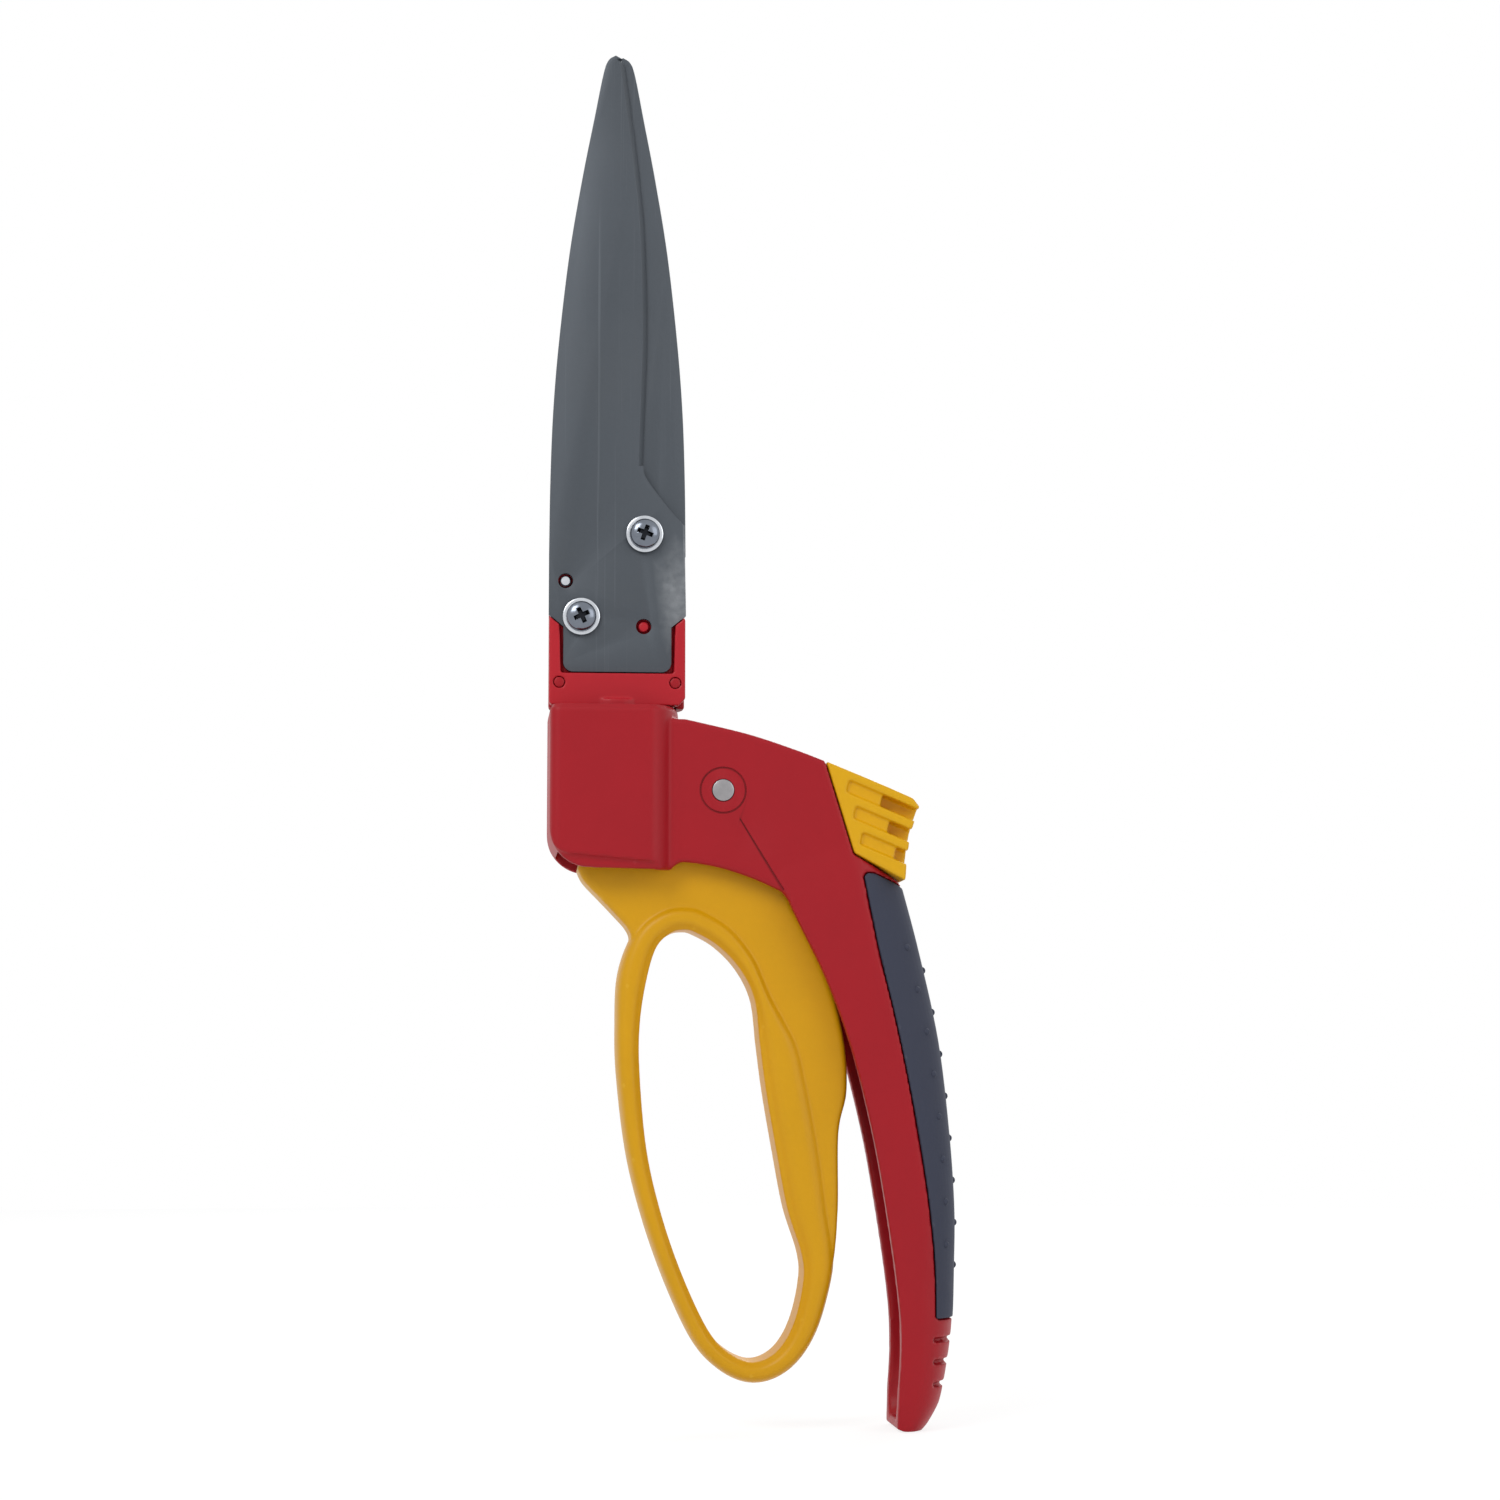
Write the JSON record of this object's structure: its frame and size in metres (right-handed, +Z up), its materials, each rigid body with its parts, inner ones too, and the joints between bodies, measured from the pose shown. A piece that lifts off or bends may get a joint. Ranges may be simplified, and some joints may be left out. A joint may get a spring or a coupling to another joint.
{
  "type": "grass shears",
  "caption": "Single-handed grass shears with a scissor blade head that swivels through half a turn, a looped finger trigger, a thumb lock and a padded grip.",
  "frame": {"origin": "centre of the base of the bounding box, under the end of the handle, with the blades closed and upright", "axes": "+Z up along the blades, +X from the finger loop towards the palm side of the handle, -Y the side on which the blade screws show"},
  "size_m": [0.1034, 0.0334, 0.35],
  "materials": {
    "red_plastic": "moulded satin, deep red",
    "light_red_plastic": "moulded satin, brighter red",
    "yellow_plastic": "moulded satin, golden yellow",
    "grip_rubber": "soft matte, dark blue-grey",
    "coated_steel": "non-stick coating, dark blue-grey, satin",
    "zinc_steel": "bright zinc plating",
    "spring_steel": "plain spring steel",
    "grey_plastic": "moulded, dark grey",
    "white_nylon": "moulded, off-white"
  },
  "bodies": {
    "handle": {"handle_body": "red_plastic", "grip_insert": "grip_rubber", "trigger_pin": "zinc_steel", "pin_spacer_front": "white_nylon", "pin_spacer_back": "white_nylon", "swivel_washer": "white_nylon", "detent_ball": "zinc_steel", "detent_spring": "spring_steel"},
    "head": {"blade_carrier": "light_red_plastic", "head_cover": "red_plastic", "lower_blade": "coated_steel", "blade_dowel": "zinc_steel", "pivot_bush": "zinc_steel", "pivot_nut": "zinc_steel", "swivel_ring": "spring_steel", "return_spring": "spring_steel", "pivot_screw": "zinc_steel", "fixing_screw": "zinc_steel", "pivot_washer": "zinc_steel", "fixing_washer": "zinc_steel"},
    "rod": {"push_rod": "zinc_steel", "drive_yoke": "grey_plastic"},
    "moving_blade": {"upper_blade": "coated_steel", "drive_pin": "zinc_steel"},
    "trigger": {"trigger": "yellow_plastic"},
    "lock": {"thumb_lock": "yellow_plastic", "lock_spring": "spring_steel"}
  },
  "joints": [
    {"name": "head_swivel", "type": "hinge", "parent": "handle", "child": "head", "pos_m": [-0.03434, -0.00052, 0.1808], "axis": [0, 0, -1], "range_deg": [0, 180]},
    {"name": "trigger_pivot", "type": "hinge", "parent": "handle", "child": "trigger", "pos_m": [-0.00784, -0.00052, 0.1595], "axis": [0, 1, 0], "range_deg": [0, 15.1]},
    {"name": "rod_slide", "type": "slide", "parent": "head", "child": "rod", "axis": [0, 0, 1], "range_m": [0, 0.0071], "deforming": ["return_spring"]},
    {"name": "blade_pivot", "type": "hinge", "parent": "head", "child": "moving_blade", "pos_m": [-0.02754, -0.00553, 0.2251], "axis": [0, 1, 0], "range_deg": [0, 26.2]},
    {"name": "lock_slide", "type": "slide", "parent": "handle", "child": "lock", "axis": [-0.2926, 0, 0.9562], "range_m": [0, 0.004]}
  ],
  "couplings": [
    {"joint": "rod_slide", "follows": "trigger_pivot", "m_per_rad": 0.026656},
    {"joint": "blade_pivot", "follows": "trigger_pivot", "ratio": 1.7133}
  ]
}
